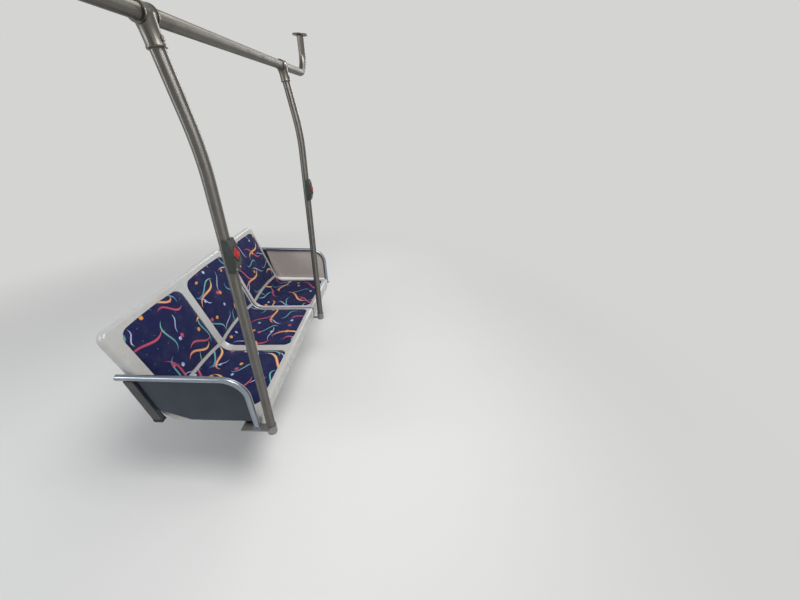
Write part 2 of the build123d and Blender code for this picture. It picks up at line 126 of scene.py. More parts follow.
def relief(tree, shader, height, distance, strength):
    values = {"Height": height, "Distance": distance, "Strength": strength}
    feed(tree, shader, Normal=put(tree, "Bump", values).outputs[0])


def facingUp(tree, low, high):
    normal = put(tree, "NewGeometry").outputs["Normal"]
    return ramp(tree, put(tree, "SeparateXYZ", {0: normal}).outputs[2], low, high)


# Fine scratches, the same kind on every hard surface. In all looks a cloud is its scale, detail and
# roughness, and patches are a cloud with the low and the high level of their soft edges.
scratchLook = {
    "along": 6,  # a low scale along a scratch makes it long
    "lines": (1, 2, 0.5, 0.66, 0.72),
    "patches": (5, 3, 0.5, 0.48, 0.60),
}


def scratches(tree, axis, tilt, fineness):
    # Long thin marks nearly along one axis, kept only in patches
    look = scratchLook
    stretch = [look["along"] if name == axis else fineness for name in "xyz"]
    lines = patches(tree, spotOf(tree, stretch, (tilt,) * 3), *look["lines"])
    return times(tree, lines, patches(tree, spotOf(tree), *look["patches"]))


# Moulded shells: glossy light grey, a little yellowed in places, with fine scuffs
shellLook = {
    "colour": (0.50, 0.51, 0.52),
    "aged": (0.475, 0.465, 0.435),
    "agedPatches": (4, 4, 0.5, 0.35, 0.75),
    "scuff": (0.38, 0.37, 0.36),
    "scuffShare": 0.30,
    "scuffs": ((0.05, 260), (-0.12, 340)),  # tilt and fineness of two sets
    "roughPatches": (12, 3, 0.5, 0.3, 0.75),
    "roughness": (0.22, 0.31),
    "scuffRoughness": 0.05,
    "coat": 0.25,
    "coatRoughness": 0.12,
    "peelScale": 140,  # a faint ripple over the whole surface
    "peelHeight": 0.00002,
    "peelStrength": 0.25,
}


def shellPlastic():
    look = shellLook
    material, tree, shader = newMaterial(
        "shellPlastic", Coat_Weight=look["coat"], Coat_Roughness=look["coatRoughness"]
    )
    spot = spotOf(tree)
    colour = mixed(tree, patches(tree, spot, *look["agedPatches"]), look["colour"], look["aged"])
    scuffed = calc(tree, "MAXIMUM", *(scratches(tree, "y", *scuff) for scuff in look["scuffs"]))
    colour = mixed(tree, times(tree, scuffed, look["scuffShare"]), colour, look["scuff"])
    rough = patches(tree, spot, *look["roughPatches"], *look["roughness"])
    rough = calc(tree, "MULTIPLY_ADD", scuffed, look["scuffRoughness"], rough)
    feed(tree, shader, Base_Color=colour, Roughness=rough)
    relief(tree, shader, cloud(tree, spot, look["peelScale"]), look["peelHeight"], look["peelStrength"])
    return material


# Bare stainless tubes and castings. lines: how far the polishing lines are drawn out on each axis.
# drawn: how far highlights are drawn out along a tube, which runs along one axis or square to another
steelLooks = {
    # The dark brownish colours of the upright and grab tubes are painted dark reflection, standing in for
    # dark surroundings that bare steel mirrors
    "upright tube": {"name": "stanchionSteel", "colour": (0.175, 0.167, 0.155), "roughness": 0.38,
                     "lines": (1, 1, 0.02), "relieved": 0.01, "drawn": 0.92, "along": (0, 0, 1)},
    "grab tube": {"name": "grabRailSteel", "colour": (0.185, 0.175, 0.158), "roughness": 0.40,
                  "lines": (1, 0.02, 1), "relieved": 0.01, "drawn": 0.9, "along": (0, 1, 0)},
    # The end tube's blue tint is painted sky reflection
    "end tube": {"name": "endRailSteel", "colour": (0.33, 0.365, 0.415), "roughness": 0.28,
                 "lines": (0.05, 1, 0.05), "relieved": 0.01, "drawn": 0.7, "square": (0, 1, 0)},
    # The casting's dark brown is painted dark reflection as well
    "casting": {"name": "castSteel", "colour": (0.14, 0.130, 0.115), "roughness": 0.35},
    "bracket": {"name": "bracketSteel", "colour": (0.30, 0.295, 0.285), "roughness": 0.36,
                "relieved": 0.1},
    "bolt": {"name": "boltSteel", "colour": (0.36, 0.35, 0.34), "roughness": 0.32, "relieved": 0.1},
}
steelSurface = {
    "polish": (700, 3, 0.6),
    "smears": (16, 5, 0.62, 0.42, 0.72),
    "dark": 0.72,  # brightness that polishing lines and smears lean towards
    "lineShare": 0.2,
    "smearShare": 0.35,
    "lineRoughness": 0.05,
    "smearRoughness": 0.08,
    "scratchRoughness": 0.1,
    "scratch": (0.04, 420),  # tilt and fineness
    "height": 0.0001,
}


def stainless(name, colour, roughness, lines=(1, 1, 1), relieved=0.12, drawn=0.0, along=None, square=None):
    look = steelSurface
    material, tree, shader = newMaterial(name, Metallic=1.0, Anisotropic=drawn)
    if along:
        feed(tree, shader, Tangent=put(tree, "CombineXYZ", dict(enumerate(along))).outputs[0])
    if square:
        normal = put(tree, "NewGeometry").outputs["Normal"]
        feed(tree, shader, Tangent=vectorCalc(tree, "CROSS_PRODUCT", normal, square))
    polish = cloud(tree, spotOf(tree, lines), *look["polish"])
    smears = patches(tree, spotOf(tree), *look["smears"])
    marks = scratches(tree, "xyz"[lines.index(min(lines))], *look["scratch"])
    darker = tuple(channel * look["dark"] for channel in colour)
    shade = times(tree, smears, look["smearShare"])
    shade = calc(tree, "MULTIPLY_ADD", polish, look["lineShare"], shade)
    rough = calc(tree, "MULTIPLY_ADD", polish, look["lineRoughness"], roughness - look["lineRoughness"] / 2)
    rough = calc(tree, "MULTIPLY_ADD", smears, look["smearRoughness"], rough)
    rough = calc(tree, "MULTIPLY_ADD", marks, look["scratchRoughness"], rough)
    feed(tree, shader, Base_Color=mixed(tree, shade, colour, darker), Roughness=rough)
    relief(tree, shader, calc(tree, "SUBTRACT", polish, marks), look["height"], relieved)
    return material


# Painted steel: powder coat with fine grain, dust on what faces up, and small chips
paintLooks = {
    "frame": {"name": "frameSteel", "colour": (0.028, 0.028, 0.030), "roughness": 0.46},
    # The two panels are one finish: the near panel's dark slate is painted shade, the far panel's pale warm
    # tone is painted reflected light
    "near panel": {"name": "panelPaintedShade", "colour": (0.009, 0.018, 0.036), "roughness": 0.30,
                   "chips": 0.1, "dust": 0.2, "metal": 0.25},
    "far panel": {"name": "panelPaintedLight", "colour": (0.67, 0.595, 0.54), "roughness": 0.34,
                  "chips": 0.1, "dust": 0.2, "metal": 0.25},
    "post": {"name": "postPaint", "colour": (0.032, 0.033, 0.037), "roughness": 0.40},
}
paintSurface = {
    "dust": (0.28, 0.26, 0.23),
    "chip": (0.33, 0.32, 0.31),
    "paler": (0.35, 0.01),  # by a share of the colour and by a fixed step, less on pale paint
    "tone": (9, 4),
    "toneLevels": (0.3, 0.75),
    "dustPatches": (30, 5, 0.5, 0.35, 0.7),
    "dustFacing": (0.2, 0.9),
    "chipPatches": (95, 3, 0.6, 0.71, 0.75),
    "grainScale": 900,
    "toneRoughness": (0.18, -0.08),  # gain and shift
    "wornRoughness": 0.2,  # dust and scratches
    "scratch": (0.07, 300),  # tilt and fineness
    "chipDepth": 1.5,  # for a grain of 1
    "height": 0.0002,
    "strength": 0.2,
}


def paintedSteel(name, colour, roughness, chips=0.5, dust=0.35, metal=0.0):
    look = paintSurface
    material, tree, shader = newMaterial(name, Metallic=metal)
    spot = spotOf(tree)
    tone = cloud(tree, spot, *look["tone"])
    share, step = look["paler"]
    paler = tuple(channel + (share * channel + step) * (1 - channel) ** 2 for channel in colour)
    paint = mixed(tree, ramp(tree, tone, *look["toneLevels"]), colour, paler)
    settled = patches(tree, spot, *look["dustPatches"])
    dusty = times(tree, facingUp(tree, *look["dustFacing"]), settled)
    paint = mixed(tree, times(tree, dusty, dust), paint, look["dust"])
    pits = patches(tree, spot, *look["chipPatches"], 0, chips)
    paint = mixed(tree, pits, paint, look["chip"])
    worn = calc(tree, "ADD", dusty, scratches(tree, "x", *look["scratch"]))
    gain, shift = look["toneRoughness"]
    rough = calc(tree, "MULTIPLY_ADD", tone, gain, roughness + shift)
    rough = calc(tree, "MULTIPLY_ADD", worn, look["wornRoughness"], rough)
    feed(tree, shader, Base_Color=paint, Roughness=rough)
    pitted = times(tree, pits, look["chipDepth"])
    grain = calc(tree, "SUBTRACT", cloud(tree, spot, look["grainScale"]), pitted)
    relief(tree, shader, grain, look["height"], look["strength"])
    return material


# Moulded plastic and rubber
plasticLooks = {
    "rubber": {"name": "footRubber", "colour": (0.018, 0.018, 0.018), "roughness": 0.72,
               "grainScale": 500, "grainHeight": 0.0004},
    "housing": {"name": "boxPlastic", "colour": (0.023, 0.030, 0.026), "roughness": 0.52,
                "grainScale": 1300, "grainHeight": 0.0003},
    "button": {"name": "buttonRed", "colour": (0.34, 0.008, 0.012), "roughness": 0.30,
               "grainScale": 90, "grainHeight": 0.00005, "wear": 0.12},
}
plasticSurface = {
    "greyed": (0.7, 0.04),  # worn places keep this share of the colour, and gain this much
    "tone": (25, 4),
    "wornLevels": (0.5, 0.8),
    "toneRoughness": 0.2,
    "scratch": (0.05, 260),  # tilt and fineness
    "strength": 0.35,
}


def moulded(name, colour, roughness, grainScale, grainHeight, wear=0.5):
    look = plasticSurface
    material, tree, shader = newMaterial(name)
    spot = spotOf(tree)
    tone = cloud(tree, spot, *look["tone"])
    share, step = look["greyed"]
    greyed = tuple(channel * share + step for channel in colour)
    rubbed = ramp(tree, tone, *look["wornLevels"])
    worn = calc(tree, "MAXIMUM", rubbed, scratches(tree, "z", *look["scratch"]))
    worn = times(tree, worn, wear)
    rough = calc(tree, "MULTIPLY_ADD", tone, look["toneRoughness"], roughness - look["toneRoughness"] / 2)
    feed(tree, shader, Base_Color=mixed(tree, worn, colour, greyed), Roughness=rough)
    relief(tree, shader, cloud(tree, spot, grainScale), grainHeight, look["strength"])
    return material


# Upholstery: a dark blue cut pile, with scattered ribbons, ticks and small squares in bright yarns
clothLook = {
    "ground": (0.0060, 0.0080, 0.052),
    "groundLight": (0.014, 0.019, 0.095),
    "groundLevels": (0.35, 0.8),
    "rubbed": (0.30, 0.31, 0.36),
    "rubbedLevels": (0.45, 0.8, 0.0, 0.05),  # the last two: least and most rubbed
    "roughness": (0.3, 0.8, 0.93, 0.74),  # the last two: fresh and rubbed
    "tone": (14, 5, 0.6),
    "heather": (600, 1),
    "stitch": 0.0011,  # one stitch of the pattern
    "rib": 0.0022,  # one rib of the pile
    "ribShare": 0.5,
    "pileScale": 1500,
    "pileHeight": 0.0005,
    "pileStrength": 0.5,
    "sheen": 0.16,
    "sheenRoughness": 0.45,
    "sheenTint": (0.75, 0.80, 1.0, 1),
    "specular": 0.2,
    "alongShare": 0.65,  # how far a ribbon goes to its second colour along its length
    "coreShare": 0.7,  # and towards its middle line
    "cover": (0.25, 0.5, 0.55, 1.0),  # the last two: a ribbon's thinnest and fullest cover
}
yarnColours = {  # at a ribbon's start and edges, and at its end and middle line
    "warm": ((0.50, 0.025, 0.05), (0.88, 0.62, 0.26)),
    "spot": ((0.60, 0.17, 0.03), (0.80, 0.42, 0.08)),
    "cool": ((0.02, 0.13, 0.34), (0.22, 0.56, 0.42)),
    "pale": ((0.12, 0.18, 0.55), (0.62, 0.68, 0.80)),
    "wine": ((0.24, 0.015, 0.10), (0.62, 0.12, 0.16)),
}
# Each layer of yarn: colours, turn and shift, then cell, half length, half width, sway of the S, and
# share of the cells that keep their stroke
motifInputs = ("Cell", "Length", "Width", "Sway", "Keep")
yarnLayers = (
    ("wine", 0.3, (0.31, 0.07, 0), (0.215, 0.098, 0.0070, 0.024, 0.80)),
    ("cool", 1.1, (0.13, 0.45, 0), (0.190, 0.090, 0.0052, -0.025, 0.80)),
    ("warm", 0.7, (0.02, 0.21, 0), (0.225, 0.106, 0.0082, 0.029, 0.85)),
    ("pale", 1.9, (0.51, 0.33, 0), (0.165, 0.062, 0.0034, 0.010, 0.75)),
    ("spot", 2.3, (0.27, 0.63, 0), (0.150, 0.0125, 0.0115, 0.0, 0.36)),
    ("wine", 0.5, (0.64, 0.29, 0), (0.170, 0.0130, 0.0120, 0.0, 0.36)),
    ("pale", 0.9, (0.74, 0.11, 0), (0.140, 0.0115, 0.0105, 0.0, 0.34)),
    ("cool", 2.9, (0.36, 0.82, 0), (0.055, 0.0036, 0.0011, 0.0, 0.35)),
)
motifShape = {
    "scatter": 0.34,  # how loosely the cells lie
    "sizes": (0.62, 0.50),  # shortest stroke as a share of its length, and the spread above it
    "waves": 2.6,  # radians of the S over half a stroke
    "thinnest": 0.0001,  # so that a stroke's tips divide by no zero
}


def motifGroup():
    # One stroke per cell of a loose grid, turned at random. Its path is a shallow S.
    shape = motifShape
    group = bpy.data.node_groups.new("motif", "ShaderNodeTree")
    group.interface.new_socket("Spot", in_out="INPUT", socket_type="NodeSocketVector")
    for name in motifInputs:
        group.interface.new_socket(name, in_out="INPUT", socket_type="NodeSocketFloat")
    for name in ("Mask", "Along", "Core"):
        group.interface.new_socket(name, in_out="OUTPUT", socket_type="NodeSocketFloat")
    given = group.nodes.new("NodeGroupInput").outputs
    result = group.nodes.new("NodeGroupOutput").inputs
    scale = calc(group, "DIVIDE", 1.0, given["Cell"])
    values = {"Vector": given["Spot"], "Scale": scale, "Randomness": shape["scatter"]}
    cells = put(group, "TexVoronoi", values, voronoi_dimensions="2D").outputs
    chance = put(group, "SeparateColor", {0: cells["Color"]}).outputs
    local = vectorCalc(group, "SUBTRACT", given["Spot"], cells["Position"])
    angle = times(group, chance[0], 2 * math.pi)
    rotated = put(group, "VectorRotate", {"Vector": local, "Angle": angle}, rotation_type="Z_AXIS")
    place = put(group, "SeparateXYZ", {0: rotated.outputs[0]}).outputs
    smallest, spread = shape["sizes"]
    size = calc(group, "MULTIPLY_ADD", chance[2], spread, smallest)
    along = calc(group, "DIVIDE", place[0], times(group, given["Length"], size))
    sine = calc(group, "SINE", times(group, along, shape["waves"]))
    path = times(group, sine, given["Sway"])
    off = calc(group, "ABSOLUTE", calc(group, "SUBTRACT", place[1], path))
    taper = calc(group, "SUBTRACT", 1.0, times(group, along, along))
    half = times(group, calc(group, "MAXIMUM", taper, 0.0), given["Width"])
    inside = calc(group, "LESS_THAN", off, half)
    kept = calc(group, "LESS_THAN", chance[1], given["Keep"])
    outward = calc(group, "DIVIDE", off, calc(group, "MAXIMUM", half, shape["thinnest"]))
    core = calc(group, "MAXIMUM", calc(group, "SUBTRACT", 1.0, outward), 0.0)
    group.links.new(times(group, inside, kept), result["Mask"])
    group.links.new(calc(group, "MULTIPLY_ADD", along, 0.5, 0.5), result["Along"])
    group.links.new(times(group, core, core), result["Core"])
    return group


def upholstery():
    look = clothLook
    material, tree, shader = newMaterial(
        "upholstery", Sheen_Weight=look["sheen"], Sheen_Roughness=look["sheenRoughness"],
        Sheen_Tint=look["sheenTint"], Specular_IOR_Level=look["specular"],
    )
    cloth = put(tree, "UVMap", uv_map="cloth").outputs[0]
    stitch = vectorCalc(tree, "SNAP", cloth, (look["stitch"],) * 3)
    tone = cloud(tree, cloth, *look["tone"])
    heather = cloud(tree, stitch, *look["heather"])
    # Threads of the ground show between the bright ones
    threads = ramp(tree, heather, *look["cover"])
    base = mixed(tree, ramp(tree, heather, *look["groundLevels"]), look["ground"], look["groundLight"])
    motif = motifGroup()
    for yarn, turn, shift, settings in yarnLayers:
        moved = put(tree, "Mapping", {"Vector": stitch, "Location": shift, "Rotation": (0, 0, turn)})
        stroke = tree.nodes.new("ShaderNodeGroup")
        stroke.node_tree = motif
        tree.links.new(moved.outputs[0], stroke.inputs["Spot"])
        for key, value in zip(motifInputs, settings):
            stroke.inputs[key].default_value = value
        mask, along, core = stroke.outputs
        share = times(tree, along, look["alongShare"])
        share = calc(tree, "MULTIPLY_ADD", core, look["coreShare"], share)
        colour = mixed(tree, share, *yarnColours[yarn])
        base = mixed(tree, times(tree, mask, threads), base, colour)
    base = mixed(tree, ramp(tree, tone, *look["rubbedLevels"]), base, look["rubbed"])
    feed(tree, shader, Base_Color=base, Roughness=ramp(tree, tone, *look["roughness"]))
    turns = vectorCalc(tree, "MULTIPLY", cloth, (2 * math.pi / look["rib"],) * 3)
    ribs = put(tree, "SeparateXYZ", {0: vectorCalc(tree, "SINE", turns)}).outputs
    pile = times(tree, ribs[0], ribs[1])
    pile = calc(tree, "MULTIPLY_ADD", pile, look["ribShare"], cloud(tree, cloth, look["pileScale"]))
    relief(tree, shader, pile, look["pileHeight"], look["pileStrength"])
    return material


print("building the finishes")
finish = {"shell": shellPlastic(), "cloth": upholstery()}
for looks, make in ((steelLooks, stainless), (paintLooks, paintedSteel), (plasticLooks, moulded)):
    for key, look in looks.items():
        finish[key] = make(**look)

# For each finish, the starts of its nodes' names, and the width and steps of their eased sharp edges
nodeFinish = {
    "shell": (("shell",), (0.0020, 3)),
    "frame": (("front_beam", "rear_beam", "back_rail", "arm", "wall_plate", "upright"), (0.0008, 2)),
    "near panel": (("end_panel_near",), (0.0006, 1)),
    "far panel": (("end_panel_far",), (0.0006, 1)),
    "post": (("end_post",), (0.0014, 2)),
    "rubber": (("post_foot",), (0.0012, 2)),
    "bracket": (("foot_bracket", "rail_bracket"), (0.0008, 2)),
    "casting": (("tee", "ceiling_flange"), (0.0008, 2)),
    "housing": (("stop_box",), (0.0016, 3)),
    "button": (("stop_button",), (0.0016, 3)),
    "upright tube": (("stanchion",), None),
    "grab tube": (("grab_rail",), None),
    "end tube": (("end_rail",), None),
    "cloth": (("back_pad", "seat_pad"), None),
}
joinDistance = 0.00001
easedAngle = math.radians(38)


def easeEdges(node, width, steps):
    join = node.modifiers.new("join", "WELD")
    join.merge_threshold = joinDistance
    ease = node.modifiers.new("ease", "BEVEL")
    ease.width = width
    ease.segments = steps
    ease.limit_method = "ANGLE"
    ease.angle_limit = easedAngle
    ease.harden_normals = True


for key, (starts, easing) in nodeFinish.items():
    for name, node in cadNodes.items():
        if name.startswith(starts):
            node.material_slots[0].material = finish[key]
            if easing:
                easeEdges(node, *easing)

# The shells' face in side view: a leaning back and a pan, with a rounded crease between them
benchShape = {
    "crease": Vector((0.185, 0, 0.097)),  # where the back's and the pan's lines meet
    "backLean": math.radians(17),
    "panTilt": math.radians(2),
    "creaseRadius": 0.065,
    "places": (-0.413, 0.018, 0.448),  # the middles of the three places, along the bench
}
crease, creaseRadius, backLean = (benchShape[key] for key in ("crease", "creaseRadius", "backLean"))


def leaned(angle):
    # Directions up and ahead in side view, both leaned back by an angle
    up = Vector((-math.sin(angle), 0, math.cos(angle)))
    ahead = Vector((math.cos(angle), 0, math.sin(angle)))
    return up, ahead


backUp, backOut = leaned(backLean)
panUp, panAhead = leaned(benchShape["panTilt"])
turnAngle = math.pi / 2 - backLean + benchShape["panTilt"]
tangent = creaseRadius * math.tan(turnAngle / 2)
halfArc = creaseRadius * turnAngle / 2
arcCentre = crease + backUp * tangent + backOut * creaseRadius


def profilePoint(run, out):
    # run is the length along the face from the middle of the crease, out the height above it
    if run < -halfArc:
        return crease + backUp * (tangent - halfArc - run) + backOut * out
    if run > halfArc:
        return crease + panAhead * (tangent - halfArc + run) + panUp * out
    angle = backLean + (run + halfArc) / creaseRadius
    normal = Vector((math.cos(angle), 0, math.sin(angle)))
    return arcCentre - normal * (creaseRadius - out)


def runOfBack(along):
    # The run of a point on the back, from its length along the back's line
    if along > tangent:
        return -(along - tangent + halfArc)
    return -halfArc + creaseRadius * math.asin((tangent - along) / creaseRadius)


# Upholstered inserts: crowned closed forms that follow the shell and sit in its pockets
padShape = {
    "halfWidth": 0.1908,
    "backLow": 0.062,  # along the back, in the middle of the lower edge
    "backHigh": 0.4130,
    "seatRear": 0.0440,  # also along the back, down in the crease
    "seatFront": 0.3550,  # along the pan
    "ribBow": 0.012,
    "topBow": 0.008,
    "backCorner": 0.047,
    "seatCorner": 0.033,
    "smallCorner": 0.007,
    "cornerReach": 6,  # a higher power keeps the corners' rounding nearer the rim
    "pullIn": 0.0012,  # sides pull in between the corners
    "deep": 0.0117,
    "edge": -0.0030,  # where the rounded edge starts, above the shell's face
    "rise": 0.0050,  # from there up to the flat
    "round": 0.009,  # width of the rounded edge
    "dome": 0.0010,
    "domeReach": 0.12,  # the dome rises over this distance from the edge
    "edgeLines": (0, 0.0012, 0.0028, 0.0050, 0.0085),  # grid lines by the edge, in from it
    "spacing": 0.0085,  # between the other grid lines
    "cap": 0.0050,  # furthest that the simulation may move a point
    "ripple": 0.0003,
    "rippleScale": 16,
    "patternShift": (0.43, 0.61),  # so that no two inserts show the same piece of the pattern
    "smoothing": 1,
}


def cornerShift(near, radius):
    # How far rounding a corner moves a point of its side along and inwards
    if near >= radius:
        return 0.0, 0.0
    angle = math.pi / 4 * (1 - near / radius)
    return radius - radius * math.sin(angle) - near, radius - radius * math.cos(angle)


def lineSteps(half):
    # Grid lines as shares of the half width, closer together at the edges
    edge = padShape["edgeLines"]
    count = max(2, round((half - edge[-1]) / padShape["spacing"]))
    inner = [(half - edge[-1]) * step / count for step in range(count)]
    positive = inner + [half - line for line in reversed(edge)]
    return [-line / half for line in reversed(positive[1:])] + [line / half for line in positive]


def padEnds(kind, across):
    # The runs of an insert's two ends, at a share of its half width
    shape = padShape
    if kind == "back":
        first = runOfBack(shape["backLow"] - shape["ribBow"] * across * across)
        return first, runOfBack(shape["backHigh"] - shape["topBow"] * across * across)
    first = runOfBack(shape["seatRear"] - shape["ribBow"] * across * across)
    return first, shape["seatFront"] - tangent + halfArc


def padGrid(kind):
    # Rows of points (across, run, distance from the edge) over an insert
    shape = padShape
    halfWidth = shape["halfWidth"]
    first, last = padEnds(kind, 0)
    halfRun = abs(last - first) / 2
    forward = 1 if last > first else -1
    grid = []
    for v in lineSteps(halfRun):
        row = []
        for u in lineSteps(halfWidth):
            ring = max(abs(u), abs(v), 1e-6)  # not zero in the very middle
            edgeU, edgeV = abs(u) / ring, abs(v) / ring
            radius = shape[kind + "Corner"] if v > 0 else shape["smallCorner"]
            if edgeV > edgeU:
                shiftU, shiftV = cornerShift(halfWidth * (1 - edgeU), radius)
            else:
                shiftV, shiftU = cornerShift(halfRun * (1 - edgeV), radius)
            weight = ring ** shape["cornerReach"]
            pull = shape["pullIn"] * weight * (1 - v * v) * u
            across = u * halfWidth - math.copysign(shiftU * weight, u) - pull
            share = (v + 1) / 2
            first, last = padEnds(kind, u)
            run = first * (1 - share) + last * share
            run -= math.copysign(shiftV * weight, v) * forward
            inward = min(halfWidth * (1 - abs(u)), halfRun * (1 - abs(v)))
            row.append((across, run, inward))
        grid.append(row)
    return grid


def padOut(across, run, inward, seed):
    # Height of the insert's top above the shell's face
    shape = padShape
    rounding = min(1.0, inward / shape["round"])
    out = shape["edge"] + shape["rise"] * math.sqrt(1 - (1 - rounding) ** 2)
    out += shape["dome"] * min(1.0, inward / shape["domeReach"])
    ripple = noise.noise(Vector((across * shape["rippleScale"], run * shape["rippleScale"], seed)))
    return out + shape["ripple"] * ripple * rounding


def padFaces(rows, columns, flipped):
    # The top, the bottom under it, and a band round the rim between them
    under = rows * columns
    faces = []
    for row in range(rows - 1):
        for column in range(columns - 1):
            corner = row * columns + column
            quad = (corner, corner + 1, corner + columns + 1, corner + columns)
            faces.append(quad[::-1])
            faces.append(tuple(index + under for index in quad))
    rim = list(range(columns))
    rim += [row * columns + columns - 1 for row in range(1, rows)]
    rim += [(rows - 1) * columns + column for column in range(columns - 2, -1, -1)]
    rim += [row * columns for row in range(rows - 2, 0, -1)]
    for here, after in zip(rim, rim[1:] + rim[:1]):
        faces.append((here, after, after + under, here + under))
    return [face[::-1] for face in faces] if flipped else faces


def padMesh(kind, middle, seed, name):
    grid = padGrid(kind)
    rows, columns = len(grid), len(grid[0])
    points, flat, held = [], [], []
    for side in ("top", "bottom"):
        for r, row in enumerate(grid):
            for c, (across, run, inward) in enumerate(row):
                onEdge = r in (0, rows - 1) or c in (0, columns - 1)
                out = padOut(across, run, inward, seed) if side == "top" else -padShape["deep"]
                point = profilePoint(run, out)
                points.append((point.x, middle + across, point.z))
                flat.append((across, run))
                held.append(side == "bottom" or onEdge)
    pad = newForm(name, points, padFaces(rows, columns, grid[0][0][1] > grid[-1][0][1]))
    mesh = pad.data
    mesh.shade_smooth()
    shiftAcross, shiftRun = padShape["patternShift"]
    cloth = mesh.uv_layers.new(name="cloth")
    for loop in mesh.loops:
        across, run = flat[loop.vertex_index]
        cloth.data[loop.index].uv = (across + shiftAcross * seed, run + shiftRun * seed)
    group = pad.vertex_groups.new(name="held")
    group.add([index for index, isHeld in enumerate(held) if isHeld], 1.0, "REPLACE")
    return pad


swellSettings = {
    "pressure": 1.6,
    "frames": 20,
    "quality": 6,
    "mass": 0.3,
    "stiffness": 18.0,
    "bending": 0.6,
}


def swell(pads):
    # All inserts swell together under a light pressure, held at their rims
    look = swellSettings
    starts = {}
    for pad in pads:
        starts[pad.name] = [vertex.co.copy() for vertex in pad.data.vertices]
        cloth = pad.modifiers.new("swell", "CLOTH")
        settings = cloth.settings
        settings.vertex_group_mass = "held"
        settings.use_pressure = True
        settings.uniform_pressure_force = look["pressure"]
        settings.effector_weights.gravity = 0
        settings.quality = look["quality"]
        settings.mass = look["mass"]
        settings.tension_stiffness = look["stiffness"]
        settings.compression_stiffness = look["stiffness"]
        settings.bending_stiffness = look["bending"]
        cloth.point_cache.frame_start = 1
        cloth.point_cache.frame_end = look["frames"]
        cloth.collision_settings.use_collision = False
    for number in range(1, look["frames"] + 1):
        bpy.context.scene.frame_set(number)
    graph = bpy.context.evaluated_depsgraph_get()
    ends = {}
    for pad in pads:
        ends[pad.name] = [vertex.co.copy() for vertex in pad.evaluated_get(graph).data.vertices]
    for pad in pads:
        pad.modifiers.clear()
        most = 0.0
        for vertex, start, end in zip(pad.data.vertices, starts[pad.name], ends[pad.name]):
            move = end - start
            most = max(most, move.length)
            if move.length > 0:
                move *= padShape["cap"] * math.tanh(move.length / padShape["cap"]) / move.length
            vertex.co = start + move
        print("  ", pad.name, "swelled by", round(most * 1000, 1), "mm")
    bpy.context.scene.frame_set(1)


print("making the inserts")
inserts = []
for number, middle in enumerate(benchShape["places"], start=1):
    for kind in ("back", "seat"):
        seed = number + (0.5 if kind == "seat" else 0.0)
        inserts.append(padMesh(kind, middle, seed, f"{kind}Insert{number}"))
swell(inserts)
for insert in inserts:
    insert.data.materials.append(finish["cloth"])
    smooth = insert.modifiers.new("smooth", "SUBSURF")
    smooth.levels = smooth.render_levels = padShape["smoothing"]
    kind, number = insert.name.split("Insert")
    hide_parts(f"{kind}_pad_{number}")
    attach(insert, "root")

# Each kind of fastener as (radius, height) up from what it sits on, and its number of sides
fasteners = {
    "washerLarge": (((0.0105, 0), (0.0105, 0.0014), (0.0100, 0.0018)), 28),
    "hexLarge": (((0.0098, 0.0018), (0.0098, 0.0072), (0.0084, 0.0082)), 6),
    "washerSmall": (((0.0082, 0), (0.0082, 0.0012), (0.0078, 0.0016)), 24),
    "hexSmall": (((0.0075, 0.0016), (0.0075, 0.0062), (0.0064, 0.0069)), 6),
    "dome": (((0.0054, 0), (0.0054, 0.0006), (0.0047, 0.0021), (0.0032, 0.0029),
              (0.0022, 0.0030), (0.0021, 0.0013)), 20),
    "domeSmall": (((0.0031, 0), (0.0031, 0.0004), (0.0027, 0.0014), (0.0018, 0.0018),
                   (0.0013, 0.0018), (0.0012, 0.0008)), 16),
    "setScrew": (((0.0036, -0.0004), (0.0036, 0.0004), (0.0031, 0.0007), (0.0018, 0.0007),
                  (0.0017, -0.0004)), 18),
    "plug": (((0.0108, -0.004), (0.0108, 0), (0.0126, 0.0001), (0.0126, 0.0014), (0.0112, 0.0027),
              (0.0070, 0.0034), (0.0020, 0.0036)), 32),
}
headSpread = 37              # spreads the turns at which bolt heads have stopped
sharpAngle = math.radians(32)


def joinedPiece(name, parts, surface):
    # Closed forms, each a pair of points and faces, in one piece
    points, faces = [], []
    for partPoints, partFaces in parts:
        shift = len(points)
        points += partPoints
        faces += [tuple(index + shift for index in face) for face in partFaces]
    piece = newForm(name, points, faces)
    piece.data.materials.append(finish[surface])
    piece.data.shade_smooth()
    piece.data.set_sharp_from_angle(angle=sharpAngle)
    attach(piece, "root")


def ringsOf(rings, looped=False):
    # A closed form from rings of equally many points, looped like a frame or capped at both ends
    sides = len(rings[0])
    points = [point for ring in rings for point in ring]
    last = len(points) - sides
    faces = [] if looped else [tuple(range(sides))[::-1]]
    for first in range(0, len(points) if looped else last, sides):
        following = (first + sides) % len(points)
        for side in range(sides):
            after = (side + 1) % sides
            faces.append((first + side, first + after, following + after, following + side))
    if not looped:
        faces.append(tuple(range(last, len(points))))
    return points, faces


def circle(radius, height, sides, spin=0.0):
    angles = [spin + 2 * math.pi * side / sides for side in range(sides)]
    return [Vector((radius * math.cos(angle), radius * math.sin(angle), height)) for angle in angles]


def turned(kind, place, axis, spin=0.0):
    outline, sides = fasteners[kind]
    face = Vector(axis).to_track_quat("Z", "Y")
    rings = []
    for radius, height in outline:
        rings.append([Vector(place) + face @ point for point in circle(radius, height, sides, spin)])
    return ringsOf(rings)


def hexBolt(size, place, axis):
    spin = Vector(place).length * headSpread % 1.0
    return [turned("washer" + size, place, axis), turned("hex" + size, place, axis, spin)]


# Welds: low rippled seams
weldLook = {
    "radius": 0.0028,
    "step": 0.0022,
    "sides": 8,
    "ripple": 0.14,  # every second ring is thicker by this share
    "wander": 0.25,  # and each by up to this share at random
    "wanderScale": 160,
    "endSize": 0.35,
}


